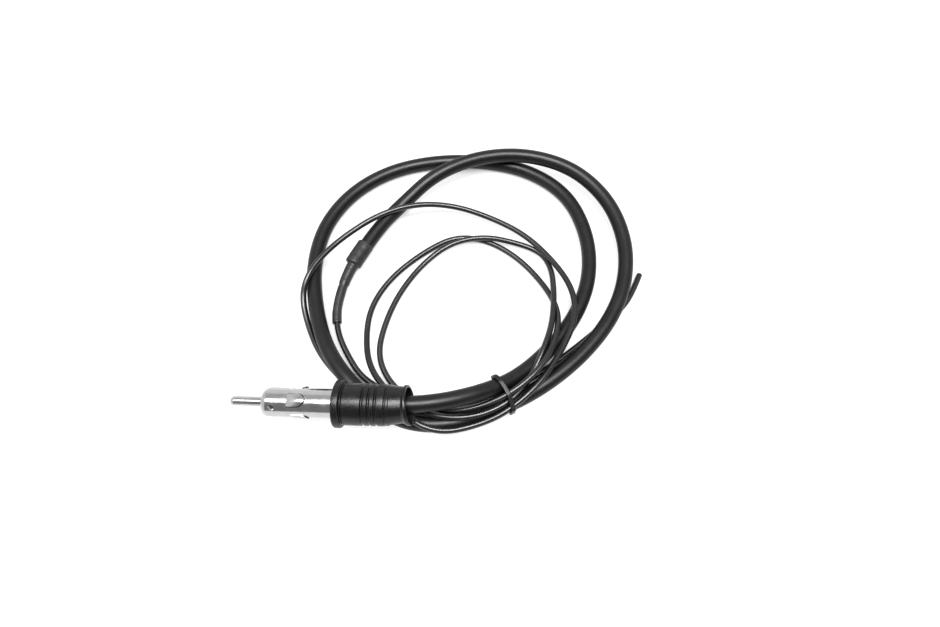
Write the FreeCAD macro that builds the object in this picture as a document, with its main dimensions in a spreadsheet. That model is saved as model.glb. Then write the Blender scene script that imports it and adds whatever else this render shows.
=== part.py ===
import FreeCAD, Part
import math
import os
import re
import Sketcher
from FreeCAD import Vector

# Hideaway wire antenna for a radio, lying coiled on a flat surface.
# Millimetres. The origin is on the plug's axis at the root of its centre contact.
# The contact points along -X, the cable leaves along +X, and +Z is up.
SIZES = {
    # Height of the plug's axis over the surface that the coil lies on
    "rest_height": 14.2,
    # Centre contact: bare pin, shank in the bush, solder cup behind it
    "pin_radius": 1.5,
    "pin_length": 10.4,
    "pin_nose": 1.45,
    "shank_radius": 1.1,
    "cup_radius": 1.5,
    "cup_length": 3.2,
    "cup_bore_depth": 2.4,
    # Insulating bush that centres the contact in the barrel
    "bush_length": 8.0,
    "shank_clearance": 0.05,
    "boss_clearance": 0.05,
    "bush_clearance": 0.1,
    # Barrel: a drawn tube with a rounded, pierced nose
    "barrel_radius": 4.55,
    "barrel_wall": 0.5,
    "barrel_length": 28.0,
    "nose_rounding": 2.2,
    "nose_hole_radius": 2.1,
    "stake_radius": 0.75,
    "stake_place": 3.9,
    "stake_roll": 38.0,
    # Spring tabs lanced out of the barrel's wall, free end towards the cable
    "tab_count": 4,
    "tab_roll": 5.0,
    "tab_root": 8.5,
    "tab_length": 5.45,
    "tab_width": 4.0,
    "tab_point": 2.4,
    "tab_rise": 0.85,
    "tab_slit": 0.15,
    # Rubber boot with a flange, three grooves, a tapered tail and a flared lip
    "boot_front": 22.5,
    "flange_length": 2.3,
    "flange_radius": 7.4,
    "flange_rounding": 0.5,
    "boot_radius": 6.5,
    "boot_body_length": 15.7,
    "groove_count": 3,
    "groove_first": 9.0,
    "groove_pitch": 2.0,
    "groove_width": 0.7,
    "groove_depth": 0.4,
    "collar_gap": 0.4,
    "collar_length": 0.8,
    "collar_radius": 6.35,
    "tail_length": 4.2,
    "tail_front_radius": 6.15,
    "tail_radius": 5.55,
    "lip_flare": 0.7,
    "lip_length": 1.35,
    "lip_radius": 6.15,
    "mouth_radius": 5.2,
    "mouth_depth": 10.5,
    "mouth_taper": 2.0,
    "boot_clearance": 0.05,
    # Coaxial cable and the layers bared inside the plug
    "cable_diameter": 5.4,
    "cable_start": 24.0,
    "cable_clearance": 0.2,
    "cable_straight": 14.0,
    "cable_lead": 28.0,
    "cable_sway": 0.8,
    "ferrule_length": 6.5,
    "ferrule_clearance": 0.05,
    "braid_radius": 1.95,
    "braid_length": 4.0,
    "dielectric_radius": 1.5,
    "dielectric_length": 7.4,
    "conductor_radius": 0.4,
    "conductor_clearance": 0.03,
    "solder_length": 0.9,
    "solder_radius": 1.2,
    # Radiator wire
    "wire_diameter": 2.1,
    # Shrunk sleeve over the joint of cable and wire
    "sleeve_radius": 3.1,
    "sleeve_grip": 7.3,
    "sleeve_overhang": 2.15,
    "sleeve_shoulder": 1.4,
    "sleeve_tail_radius": 1.75,
    "sleeve_clearance": 0.08,
    "splice_radius": 0.8,
    "splice_gap": 0.1,
    # Twist tie round the bundle
    "tie_width": 1.5,
    "tie_thickness": 0.75,
    "tie_clearance": 0.1,
    "tie_tail_length": 5.0,
    "tie_tail_width": 1.3,
    "tie_tail_thickness": 0.8,
    "tie_tail_turns": 1.0,
}

# The cable's route after the plug, from the boot's mouth round both turns into the sleeve.
# Each point is (x, y, height over the surface).
CABLE_ROUTE = [
    (66.0, 5.0, 11.4), (79.1, 12.2, 5.6), (91.5, 24.0, 3.4), (101.8, 38.3, 2.8), (107.6, 54.5, 2.7),
    (107.5, 73.0, 2.7), (100.7, 91.3, 2.7), (85.3, 103.2, 2.7), (66.5, 107.3, 2.7), (47.0, 106.8, 2.7),
    (28.5, 101.3, 2.7), (14.0, 90.0, 2.7), (5.0, 74.0, 2.7), (3.2, 56.0, 2.7), (6.8, 38.0, 2.9),
    (13.8, 22.0, 4.4), (25.0, 8.5, 5.9), (39.0, -1.9, 2.9), (54.5, -3.7, 2.7), (70.0, 0.8, 3.7),
    (86.0, 8.6, 4.5), (101.0, 20.5, 4.8), (113.0, 35.1, 5.3), (119.9, 51.5, 5.3), (121.0, 69.0, 6.0),
    (115.5, 86.5, 7.0), (102.5, 100.2, 8.3), (84.0, 106.3, 8.7), (65.0, 104.5, 8.7), (47.5, 96.0, 8.0),
    (34.5, 84.0, 3.2), (25.3, 71.5, 3.2), (18.8, 56.5, 3.2),
]

# The wire's route from the splice through its three loops to the cut end.
WIRE_ROUTE = [
    (17.7, 54.0, 3.0), (16.1, 49.6, 2.7), (14.9, 42.9, 2.4), (14.6, 35.9, 2.1), (16.2, 28.3, 1.8),
    (20.8, 21.1, 1.4), (27.4, 13.2, 1.1), (36.5, 6.9, 1.8), (45.5, 1.9, 5.0), (55.5, -2.0, 7.0),
    (67.0, -1.1, 7.4), (77.2, 3.9, 8.2), (83.8, 12.2, 7.5), (88.5, 22.4, 9.3), (91.9, 33.0, 7.2),
    (93.1, 45.5, 6.4), (93.0, 57.1, 2.6), (89.5, 64.6, 1.4), (80.0, 68.2, 1.9), (67.5, 69.4, 4.0),
    (54.9, 67.1, 2.6), (44.8, 58.9, 1.1), (36.9, 46.5, 1.1), (32.4, 33.5, 1.1), (30.9, 21.0, 1.1),
    (36.0, 11.0, 1.1), (44.5, 4.8, 1.8), (55.5, 0.4, 5.8), (66.2, 1.4, 7.5), (78.0, 6.4, 10.2),
    (88.1, 16.0, 10.7), (93.2, 27.2, 8.8), (94.6, 38.6, 5.0), (90.1, 50.8, 1.3), (80.7, 62.0, 1.1),
    (69.0, 69.4, 1.1), (56.5, 71.0, 1.1), (44.8, 63.8, 1.1), (32.9, 52.2, 1.1), (26.4, 39.5, 1.1),
    (26.1, 27.0, 1.2), (29.5, 15.5, 3.2), (37.4, 5.8, 4.9), (45.0, -3.3, 7.5), (54.5, -6.4, 6.2),
    (65.5, -4.0, 5.8), (76.1, 0.6, 7.4), (86.8, 10.1, 8.9), (94.9, 22.8, 7.2), (100.2, 34.6, 7.2),
    (99.9, 46.6, 6.2), (93.7, 58.8, 4.6), (83.3, 70.8, 3.8), (70.0, 78.6, 3.4), (55.5, 83.3, 4.2),
    (41.0, 81.8, 7.0), (27.0, 76.3, 7.4), (14.3, 66.0, 6.8), (6.5, 55.7, 7.2), (3.1, 47.7, 7.0),
    (1.7, 40.9, 3.5), (4.9, 31.0, 1.3), (10.5, 20.8, 1.1), (18.0, 11.6, 1.1), (26.0, 8.0, 1.1),
    (34.5, 4.9, 1.1), (43.0, 2.0, 1.1), (52.5, 1.0, 1.4), (63.0, 2.8, 2.2), (75.0, 8.0, 2.5),
    (86.5, 14.5, 2.4), (97.5, 23.0, 1.4), (108.0, 32.0, 1.1), (118.0, 41.0, 1.1), (123.0, 48.1, 1.1),
    (126.4, 55.8, 1.1),
]

# The first points of the wire's route, which the sleeve's tail follows to the middle of their last run.
SLEEVE_ROUTE = WIRE_ROUTE[:5]

# Where the tie holds the bundle, and the way the bundle runs there.
TIE_PLACE = Vector(76.0, 5.5, 6.0)
TIE_ALONG = Vector(0.89, 0.45, 0.0).normalize()

# Half the width that a tied bundle can have, in cable diameters.
BUNDLE_SHARE = 2.5

# Facets of the tie's twisted tail in each turn.
TAIL_STEPS_PER_TURN = 12

# Share of the shorter run that each corner of a route gives to its arc.
CORNER_SHARE = 0.45

ALONG_X = FreeCAD.Rotation(Vector(0, 1, 0), 90)

doc = FreeCAD.newDocument("wire_antenna")
sheet = doc.addObject("Spreadsheet::Sheet", "sizes")
for row, (alias, value) in enumerate(SIZES.items(), start=1):
    sheet.set(f"A{row}", alias)
    sheet.set(f"B{row}", str(value))
    sheet.setAlias(f"B{row}", alias)
doc.recompute()


def size(alias):
    """Value of one cell of the sheet."""
    return float(sheet.get(alias))


def bound(text):
    """Expression over the sheet's cells, from one written with their bare names."""
    return re.sub(r"\b[a-z_]+\b(?!\()", lambda word: "sizes." + word.group(), text)


def sketch_on(body, name, role, roll=None):
    """Sketch on one of the body's own origin planes, rolled about the plug's axis."""
    sketch = body.newObject("Sketcher::SketchObject", name)
    plane = next(item for item in body.Origin.OriginFeatures if item.Role == role)
    sketch.AttachmentSupport = [(plane, "")]
    sketch.MapMode = "FlatFace"
    if roll:
        sketch.AttachmentOffset = FreeCAD.Placement(Vector(), FreeCAD.Rotation(Vector(1, 0, 0), 1))
        sketch.setExpression("AttachmentOffset.Rotation.Angle", bound(roll))
    return sketch


def hold(sketch, kind, geometry, end, text):
    """Tie one end of a line or arc to its coordinate."""
    axis = -2 if kind == "DistanceX" else -1
    if text == "0":
        sketch.addConstraint(Sketcher.Constraint("PointOnObject", geometry, end, axis))
        return
    value = sketch.evalExpression(bound(text))
    place = sketch.addConstraint(Sketcher.Constraint(kind, -1, 1, geometry, end, float(value)))
    sketch.setExpression(f"Constraints[{place}]", bound(text))


def arc_between(start, end, radius, side):
    """Short arc from start to end that bulges to the left of the way if side is 1, else to the right."""
    chord = end - start
    outward = Vector(-chord.y, chord.x, 0).normalize() * side
    depth = math.sqrt(max(radius ** 2 - (chord.Length / 2) ** 2, 0.0))
    crown = (start + end) * 0.5 + outward * (radius - depth)
    return Part.Arc(start, crown, end)


def draw_outline(sketch, corners):
    """Closed outline whose corners are (x, y) or (x, y, radius, side), the last two for an arc to the next."""
    spots = []
    for corner in corners:
        spots.append(Vector(*(float(sketch.evalExpression(bound(text))) for text in corner[:2]), 0))
    ends = []
    for corner, start, end in zip(corners, spots, spots[1:] + spots[:1]):
        if len(corner) == 2:
            geometry = sketch.addGeometry(Part.LineSegment(start, end), False)
        else:
            radius = float(sketch.evalExpression(bound(corner[2])))
            geometry = sketch.addGeometry(arc_between(start, end, radius, corner[3]), False)
        forward = sketch.getPoint(geometry, 1).distanceToPoint(start) < 1e-6
        ends.append((geometry, 1, 2) if forward else (geometry, 2, 1))
    for (geometry, first, last), following in zip(ends, ends[1:] + ends[:1]):
        sketch.addConstraint(Sketcher.Constraint("Coincident", geometry, last, following[0], following[1]))
    for corner, (geometry, first, last) in zip(corners, ends):
        hold(sketch, "DistanceX", geometry, first, corner[0])
        hold(sketch, "DistanceY", geometry, first, corner[1])
        if len(corner) > 2:
            radius = float(sketch.evalExpression(bound(corner[2])))
            place = sketch.addConstraint(Sketcher.Constraint("Radius", geometry, radius))
            sketch.setExpression(f"Constraints[{place}]", bound(corner[2]))


def turned(label, corners):
    """Body turned about the plug's axis from corners given as place along it and radius."""
    body = doc.addObject("PartDesign::Body", label)
    profile = sketch_on(body, label + "_profile", "XY_Plane")
    draw_outline(profile, corners)
    revolution = body.newObject("PartDesign::Revolution", label + "_turned")
    revolution.Profile = profile
    revolution.ReferenceAxis = (profile, ["H_Axis"])
    revolution.Angle = 360
    return body


def round_bar(label, radius, start, length):
    """Plain round bar along the plug's axis."""
    bar = doc.addObject("Part::Cylinder", label)
    bar.Placement = FreeCAD.Placement(Vector(), ALONG_X)
    bar.setExpression("Radius", bound(radius))
    bar.setExpression("Height", bound(length))
    bar.setExpression("Placement.Base.x", bound(start))
    return bar


def cut_upwards(body, name, sketch):
    """Cut from the plug's axis out through the wall above the sketch."""
    pocket = body.newObject("PartDesign::Pocket", name)
    pocket.Profile = sketch
    pocket.Type = 0
    pocket.Reversed = True
    pocket.setExpression("Length", bound("barrel_radius + barrel_radius"))
    return pocket


def tab_outline(grow):
    """Shield outline of a spring tab: straight root, straight sides, pointed arch at the free end."""
    half = f"(tab_width / 2 + {grow})"
    point = f"(tab_point + {grow})"
    arch = f"({half} * {half} + {point} * {point}) / (2 * {half})"
    shoulder = "tab_root + tab_length - tab_point"
    tip = f"tab_root + tab_length + {grow}"
    return [
        ("tab_root", f"-{half}"),
        (shoulder, f"-{half}", arch, -1),
        (tip, "0", arch, -1),
        (shoulder, half),
        ("tab_root", half),
    ]


# Centre contact
CUP_END = "bush_length + cup_length"
CONTACT = turned("contact_pin", [
    ("-pin_length", "0"),
    ("-pin_length", "pin_radius - pin_nose", "pin_nose", 1),
    ("-pin_length + pin_nose", "pin_radius"),
    ("0", "pin_radius"),
    ("0", "shank_radius"),
    ("bush_length", "shank_radius"),
    ("bush_length", "cup_radius"),
    (CUP_END, "cup_radius"),
    (CUP_END, "conductor_radius + conductor_clearance"),
    (CUP_END + " - cup_bore_depth", "conductor_radius + conductor_clearance"),
    (CUP_END + " - cup_bore_depth", "0"),
])

# Insulating bush: its boss fills the nose hole, its shoulder seats behind the rounded nose
BORE = "barrel_radius - barrel_wall"

# Rounding of the nose, which leaves a narrow flat for the bush's shoulder round the nose hole
NOSE = "min(nose_rounding; barrel_radius - nose_hole_radius - bush_clearance)"
BUSH = turned("insulator_bush", [
    ("0", "shank_radius + shank_clearance"),
    ("0", "nose_hole_radius - boss_clearance"),
    ("barrel_wall", "nose_hole_radius - boss_clearance"),
    ("barrel_wall", f"barrel_radius - {NOSE} - bush_clearance", NOSE + " - barrel_wall", 1),
    (NOSE, BORE + " - bush_clearance"),
    ("bush_length", BORE + " - bush_clearance"),
    ("bush_length", "shank_radius + shank_clearance"),
])

# Barrel: drawn tube, staking hole, then a window under each spring tab
SHELL = turned("barrel_tube", [
    ("0", "nose_hole_radius"),
    ("0", "barrel_radius - " + NOSE, NOSE, 1),
    (NOSE, "barrel_radius"),
    ("barrel_length", "barrel_radius"),
    ("barrel_length", BORE),
    (NOSE, BORE, NOSE + " - barrel_wall", -1),
    ("barrel_wall", "barrel_radius - " + NOSE),
    ("barrel_wall", "nose_hole_radius"),
])
stake = sketch_on(SHELL, "stake_hole", "XY_Plane", "stake_roll")
ring = stake.addGeometry(Part.Circle(Vector(size("stake_place"), 0, 0), Vector(0, 0, 1), size("stake_radius")))
hold(stake, "DistanceX", ring, 3, "stake_place")
hold(stake, "DistanceY", ring, 3, "0")
place = stake.addConstraint(Sketcher.Constraint("Radius", ring, size("stake_radius")))
stake.setExpression(f"Constraints[{place}]", bound("stake_radius"))
cut_upwards(SHELL, "staked", stake)
window = sketch_on(SHELL, "tab_window", "XY_Plane", "tab_roll")
draw_outline(window, tab_outline("tab_slit"))
lanced = cut_upwards(SHELL, "lanced", window)
windows = SHELL.newObject("PartDesign::PolarPattern", "windows")
windows.Originals = [lanced]
windows.Axis = (stake, ["H_Axis"])
windows.Angle = 360
windows.setExpression("Occurrences", bound("tab_count"))
SHELL.Tip = windows


def spring_tab(index):
    """One tongue: a sector of a cone that rises from the barrel's wall, trimmed to the shield outline."""
    roll = f"tab_roll + {index} * 360 / tab_count"
    free_end = "tab_root + tab_length"
    tab = doc.addObject("PartDesign::Body", f"tab_{index}")
    strip = sketch_on(tab, f"tab_strip_{index}", "XZ_Plane", roll)
    draw_outline(strip, [
        ("tab_root", BORE),
        ("tab_root", "barrel_radius"),
        (free_end, "barrel_radius + tab_rise"),
        (free_end, BORE + " + tab_rise"),
    ])
    blank = tab.newObject("PartDesign::Revolution", f"tab_blank_{index}")
    blank.Profile = strip
    blank.ReferenceAxis = (strip, ["H_Axis"])
    blank.Midplane = True
    blank.setExpression("Angle", "4 * asin(sizes.tab_width / 2 / sizes.barrel_radius)")
    shield = sketch_on(tab, f"tab_shield_{index}", "XY_Plane", roll)
    draw_outline(shield, tab_outline("0"))
    draw_outline(shield, [
        ("tab_root - tab_width", "-2 * tab_width"),
        (free_end + " + tab_width", "-2 * tab_width"),
        (free_end + " + tab_width", "2 * tab_width"),
        ("tab_root - tab_width", "2 * tab_width"),
    ])
    cut_upwards(tab, f"tab_trim_{index}", shield)
    return tab


TABS = [spring_tab(index) for index in range(int(size("tab_count")))]
BARREL = doc.addObject("Part::MultiFuse", "barrel")
BARREL.Shapes = [SHELL] + TABS

# Crimp ferrule between the barrel's rear end and the cable's jacket
FERRULE_START = "barrel_length - ferrule_length"
FERRULE = turned("crimp_ferrule", [
    (FERRULE_START, "cable_diameter / 2 + cable_clearance"),
    (FERRULE_START, BORE + " - ferrule_clearance"),
    ("barrel_length", BORE + " - ferrule_clearance"),
    ("barrel_length", "cable_diameter / 2 + cable_clearance"),
])

# Layers of the cable bared inside the plug, and the solder at the contact's cup
BRAID_START = "cable_start - braid_length"
DIELECTRIC_START = BRAID_START + " - dielectric_length"
CUP_BOTTOM = CUP_END + " - cup_bore_depth"
BRAID = round_bar("cable_braid", "braid_radius", BRAID_START, "braid_length")
DIELECTRIC = round_bar("cable_dielectric", "dielectric_radius", DIELECTRIC_START, "dielectric_length")
CONDUCTOR = round_bar(
    "cable_conductor", "conductor_radius", CUP_BOTTOM, f"{DIELECTRIC_START} - ({CUP_BOTTOM})")
SOLDER = turned("contact_solder", [
    (CUP_END, "conductor_radius"),
    (CUP_END, "solder_radius"),
    (CUP_END + " + solder_length", "conductor_radius"),
])

# Boot
FLANGE_END = "boot_front + flange_length"
BODY_END = "boot_front + boot_body_length"
COLLAR_START = BODY_END + " + collar_gap"
TAIL_START = COLLAR_START + " + collar_length"
TAIL_END = TAIL_START + " + tail_length"
BOOT_END = TAIL_END + " + lip_flare + lip_length"
GRIP = "cable_diameter / 2 + cable_clearance"
boot_corners = [
    ("boot_front", "barrel_radius + boot_clearance"),
    ("boot_front", "flange_radius - flange_rounding", "flange_rounding", 1),
    ("boot_front + flange_rounding", "flange_radius"),
    (FLANGE_END + " - flange_rounding", "flange_radius", "flange_rounding", 1),
    (FLANGE_END, "flange_radius - flange_rounding"),
    (FLANGE_END, "boot_radius"),
]
for groove in range(int(size("groove_count"))):
    middle = f"boot_front + groove_first + {groove} * groove_pitch"
    for side, radius in (
        ("-", "boot_radius"), ("-", "boot_radius - groove_depth"),
        ("+", "boot_radius - groove_depth"), ("+", "boot_radius"),
    ):
        boot_corners.append((f"{middle} {side} groove_width / 2", radius))
boot_corners += [
    (BODY_END, "boot_radius"),
    (BODY_END, "boot_radius - groove_depth"),
    (COLLAR_START, "boot_radius - groove_depth"),
    (COLLAR_START, "collar_radius"),
    (TAIL_START, "collar_radius"),
    (TAIL_START, "tail_front_radius"),
    (TAIL_END, "tail_radius"),
    (TAIL_END + " + lip_flare", "lip_radius"),
    (BOOT_END, "lip_radius"),
    (BOOT_END, "mouth_radius"),
    (BOOT_END + " - mouth_depth", "mouth_radius"),
    (BOOT_END + " - mouth_depth - mouth_taper", GRIP),
    ("barrel_length", GRIP),
    ("barrel_length", "barrel_radius + boot_clearance"),
]
BOOT = turned("boot", boot_corners)


def cord_path(points, name):
    """Straight runs joined by tangent arcs, each as large as its two runs allow."""
    edges = []
    radii = []
    leave = points[0]
    for before, corner, after in zip(points, points[1:], points[2:]):
        towards = (corner - before).normalize()
        away = (after - corner).normalize()
        turn = towards.getAngle(away)
        reach = CORNER_SHARE * min((corner - before).Length, (after - corner).Length)
        radius = reach / math.tan(turn / 2)
        inward = (away - towards).normalize()
        crown = corner + inward * (radius / math.cos(turn / 2) - radius)
        edges.append(Part.LineSegment(leave, corner - towards * reach).toShape())
        leave = corner + away * reach
        edges.append(Part.Arc(corner - towards * reach, crown, leave).toShape())
        radii.append(radius)
    edges.append(Part.LineSegment(leave, points[-1]).toShape())
    print(name, "radii:", " ".join(f"{radius:.1f}" for radius in radii))
    return Part.Wire(edges)


def round_tube(path, radius):
    """Round solid along a path that starts with a straight run."""
    start = path.OrderedVertexes[0].Point
    way = path.OrderedEdges[0].tangentAt(path.OrderedEdges[0].FirstParameter)
    section = Part.Wire(Part.Circle(start, way, radius).toShape())
    return path.makePipeShell([section], True, False)


def laid(label, shape):
    """Object for a shape that was made from the surface upwards."""
    item = doc.addObject("Part::Feature", label)
    item.Shape = shape
    lowered = FreeCAD.Placement(Vector(0, 0, -size("rest_height")), FreeCAD.Rotation())
    item.Placement = lowered * shape.Placement
    return item


# Cable: straight out of the plug, then along its route
cable_points = [
    Vector(size("cable_start") + along, aside, size("rest_height"))
    for along, aside in ((0, 0), (size("cable_straight"), 0), (size("cable_lead"), size("cable_sway")))
]
cable_points += [Vector(*point) for point in CABLE_ROUTE]
cable_path = cord_path(cable_points, "coax_cable")
CABLE = laid("coax_cable", round_tube(cable_path, size("cable_diameter") / 2))

# Radiator wire
wire_points = [Vector(*point) for point in WIRE_ROUTE]
wire_path = cord_path(wire_points, "radiator_wire")
WIRE = laid("radiator_wire", round_tube(wire_path, size("wire_diameter") / 2))

# Splice of the two conductors, from the cable's cut face to the wire's
cable_end = cable_points[-1]
cable_way = (cable_points[-1] - cable_points[-2]).normalize()
splice_start = cable_end + cable_way * size("splice_gap")
splice_way = wire_points[0] - splice_start
splice_length = splice_way.Length - size("splice_gap")
SPLICE = laid("splice_solder", Part.makeCylinder(size("splice_radius"), splice_length, splice_start, splice_way))

# Sleeve: a wide stretch on the cable, a shoulder, and a tail that follows the wire
last_run = len(SLEEVE_ROUTE) - 2
sleeve_points = wire_points[:last_run + 1]
sleeve_points.append((wire_points[last_run] + wire_points[last_run + 1]) * 0.5)
tail_edges = wire_path.OrderedEdges[:2 * last_run]
tail_edges.append(Part.LineSegment(wire_path.OrderedEdges[2 * last_run].Vertexes[0].Point,
                                   sleeve_points[-1]).toShape())
tail_path = Part.Wire(tail_edges)
sleeve_start = cable_end - cable_way * size("sleeve_grip")
shoulder_start = cable_end + cable_way * size("sleeve_overhang")
cable_fit = size("cable_diameter") / 2 + size("sleeve_clearance")
wire_fit = size("wire_diameter") / 2 + size("sleeve_clearance")
wide_length = size("sleeve_grip") + size("sleeve_overhang")
sleeve_outside = Part.makeCylinder(size("sleeve_radius"), wide_length, sleeve_start, cable_way).multiFuse([
    Part.makeCone(size("sleeve_radius"), size("sleeve_tail_radius"), size("sleeve_shoulder"),
                  shoulder_start, cable_way),
    round_tube(tail_path, size("sleeve_tail_radius")),
])
sleeve_inside = Part.makeCylinder(cable_fit, wide_length, sleeve_start, cable_way).multiFuse([
    Part.makeCone(cable_fit, wire_fit, size("sleeve_shoulder"), shoulder_start, cable_way),
    round_tube(tail_path, wire_fit),
])
SLEEVE = laid("shrink_sleeve", sleeve_outside.cut(sleeve_inside).removeSplitter())


def tie_crossings():
    """Where the strands pass through the band: (across, height, half the room that each one takes)."""
    reach = BUNDLE_SHARE * size("cable_diameter")
    plane = Part.makePlane(2 * reach, 2 * reach)
    across = Vector(0, 0, 1).cross(TIE_ALONG)
    corner = TIE_PLACE - (across + Vector(0, 0, 1)) * reach
    plane.Placement = FreeCAD.Placement(corner, FreeCAD.Rotation(across, Vector(0, 0, 1), TIE_ALONG, "XYZ"))
    strands = []
    for path, radius in ((cable_path, size("cable_diameter") / 2), (wire_path, size("wire_diameter") / 2)):
        for vertex in path.section(plane).Vertexes:
            edge = min(path.Edges, key=lambda item: item.distToShape(vertex)[0])
            lean = edge.tangentAt(edge.Curve.parameter(vertex.Point)).getAngle(TIE_ALONG)
            lean = min(lean, math.pi - lean)
            room = radius / math.cos(lean) + size("tie_width") / 2 * math.tan(lean)
            strands.append(((vertex.Point - TIE_PLACE).dot(across), vertex.Point.z, room))
    return strands


def outer_strands(strands):
    """Strands that a band pulled round the bundle touches, in the order that it meets them."""
    touched = []
    for degree in range(360):
        angle = math.radians(degree)
        reach = [math.cos(angle) * y + math.sin(angle) * z + radius for y, z, radius in strands]
        strand = strands[reach.index(max(reach))]
        if not touched or touched[-1] != strand:
            touched.append(strand)
    return touched if touched[0] != touched[-1] else touched[:-1]


def band_outline(strands, offset):
    """Closed wire of tangent lines and arcs round the strands, an offset away from them."""
    normals = []
    for (y, z, radius), (next_y, next_z, next_radius) in zip(strands, strands[1:] + strands[:1]):
        gap = math.hypot(next_y - y, next_z - z)
        heading = math.atan2(next_z - z, next_y - y)
        normals.append(heading - math.acos((radius - next_radius) / gap))
    edges = []
    for place, (y, z, radius) in enumerate(strands):
        first, last = normals[place - 1], normals[place]
        while last < first:
            last += 2 * math.pi
        spots = [Vector(y + math.cos(angle) * (radius + offset), z + math.sin(angle) * (radius + offset), 0)
                 for angle in (first, (first + last) / 2, last)]
        if edges:
            edges.append(Part.LineSegment(edges[-1].Vertexes[-1].Point, spots[0]).toShape())
        edges.append(Part.Arc(*spots).toShape())
    edges.append(Part.LineSegment(edges[-1].Vertexes[-1].Point, edges[0].Vertexes[0].Point).toShape())
    return Part.Wire(Part.sortEdges(edges)[0])


def tie_solid():
    """Flat band round the bundle with its two ends twisted into a short tail on the inner side."""
    strands = outer_strands(tie_crossings())
    inside = band_outline(strands, size("tie_clearance"))
    outside = band_outline(strands, size("tie_clearance") + size("tie_thickness"))
    ring = Part.Face(outside).cut(Part.Face(inside)).Faces[0]
    band = ring.extrude(Vector(0, 0, size("tie_width")))
    tail_height = outside.BoundBox.YMin + math.hypot(size("tie_tail_width"), size("tie_tail_thickness")) / 2
    sides = (outside.BoundBox.XMin, outside.BoundBox.XMax)
    level = Part.LineSegment(*(Vector(side, tail_height, 0) for side in sides)).toShape()
    edge = max(vertex.Point.x for vertex in outside.section(level).Vertexes)
    start = Vector(edge - size("tie_thickness") / 2, tail_height, size("tie_width") / 2)
    sections = []
    steps = int(TAIL_STEPS_PER_TURN * size("tie_tail_turns"))
    for step in range(steps + 1):
        section = Part.makePolygon([
            Vector(0, side * size("tie_tail_thickness") / 2, end * size("tie_tail_width") / 2)
            for side, end in ((-1, -1), (1, -1), (1, 1), (-1, 1), (-1, -1))])
        turn = FreeCAD.Rotation(Vector(1, 0, 0), 360 * size("tie_tail_turns") * step / steps)
        section.Placement = FreeCAD.Placement(start + Vector(size("tie_tail_length") * step / steps, 0, 0), turn)
        sections.append(section)
    solid = band.fuse(Part.makeLoft(sections, True, True))
    across = Vector(0, 0, 1).cross(TIE_ALONG)
    foot = Vector(TIE_PLACE.x, TIE_PLACE.y, 0) - TIE_ALONG * size("tie_width") / 2
    solid.Placement = FreeCAD.Placement(foot, FreeCAD.Rotation(across, Vector(0, 0, 1), TIE_ALONG, "XYZ"))
    return solid


TIE = laid("twist_tie", tie_solid())

PIECES = [CONTACT, BUSH, BARREL, FERRULE, BRAID, DIELECTRIC, CONDUCTOR, SOLDER, BOOT,
          CABLE, WIRE, SPLICE, SLEEVE, TIE]
doc.recompute()
for item in doc.Objects:
    if "Invalid" in item.State or "Error" in item.State:
        raise RuntimeError(f"{item.Label} did not rebuild: {item.State}")
for piece in PIECES:
    if piece.Shape.isNull() or not piece.Shape.isValid():
        raise RuntimeError(f"{piece.Label} has no valid shape")

os.makedirs("parts", exist_ok=True)
for piece in PIECES:
    piece.Shape.exportStep(f"parts/{piece.Label}.step")
    print(piece.Label, len(piece.Shape.Solids), "solid", f"{piece.Shape.Volume:.1f} mm3")
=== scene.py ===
"""Wire radio antenna, coiled: plug, boot, coaxial lead, splice sleeve, radiator wire and twist tie."""

import logging
import math
from dataclasses import dataclass
from enum import Enum
from typing import Sequence

import bmesh
import bpy
from mathutils import Matrix, Vector, noise


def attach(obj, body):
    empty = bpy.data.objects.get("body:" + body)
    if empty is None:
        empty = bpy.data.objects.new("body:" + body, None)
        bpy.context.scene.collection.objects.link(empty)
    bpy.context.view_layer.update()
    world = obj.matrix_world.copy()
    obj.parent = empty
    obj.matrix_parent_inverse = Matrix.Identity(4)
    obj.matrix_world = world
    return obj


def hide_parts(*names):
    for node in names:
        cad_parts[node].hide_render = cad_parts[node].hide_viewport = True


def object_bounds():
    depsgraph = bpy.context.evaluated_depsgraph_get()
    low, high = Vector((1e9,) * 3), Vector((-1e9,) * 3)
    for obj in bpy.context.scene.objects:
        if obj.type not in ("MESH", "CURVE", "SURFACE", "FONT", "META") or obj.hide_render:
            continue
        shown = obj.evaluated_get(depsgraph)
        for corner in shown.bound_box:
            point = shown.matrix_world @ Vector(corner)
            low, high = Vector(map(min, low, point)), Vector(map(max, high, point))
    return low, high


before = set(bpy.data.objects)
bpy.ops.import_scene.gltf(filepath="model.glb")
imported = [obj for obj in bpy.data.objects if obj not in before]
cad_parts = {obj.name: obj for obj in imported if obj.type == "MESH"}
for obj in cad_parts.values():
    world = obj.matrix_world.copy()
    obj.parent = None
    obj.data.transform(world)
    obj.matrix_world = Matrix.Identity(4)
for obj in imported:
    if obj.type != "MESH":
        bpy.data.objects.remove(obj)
CAD_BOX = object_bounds()

LOG = logging.getLogger("wire_antenna")
MM = 0.001
BODY = "root"

# Range that most values of a noise lie in
NOISE_RANGE = (0.3, 0.7)

Pair = tuple[float, float]
Triple = tuple[float, float, float]
Route = Sequence[Triple]
Outline = list[Pair]
BMesh = bmesh.types.BMesh
Row = list[bmesh.types.BMVert]
Piece = bpy.types.Object
Finish = bpy.types.Material
Socket = bpy.types.NodeSocket

# Height of the plug's axis over the floor, in millimetres
REST_HEIGHT = -CAD_BOX[0].z / MM

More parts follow.
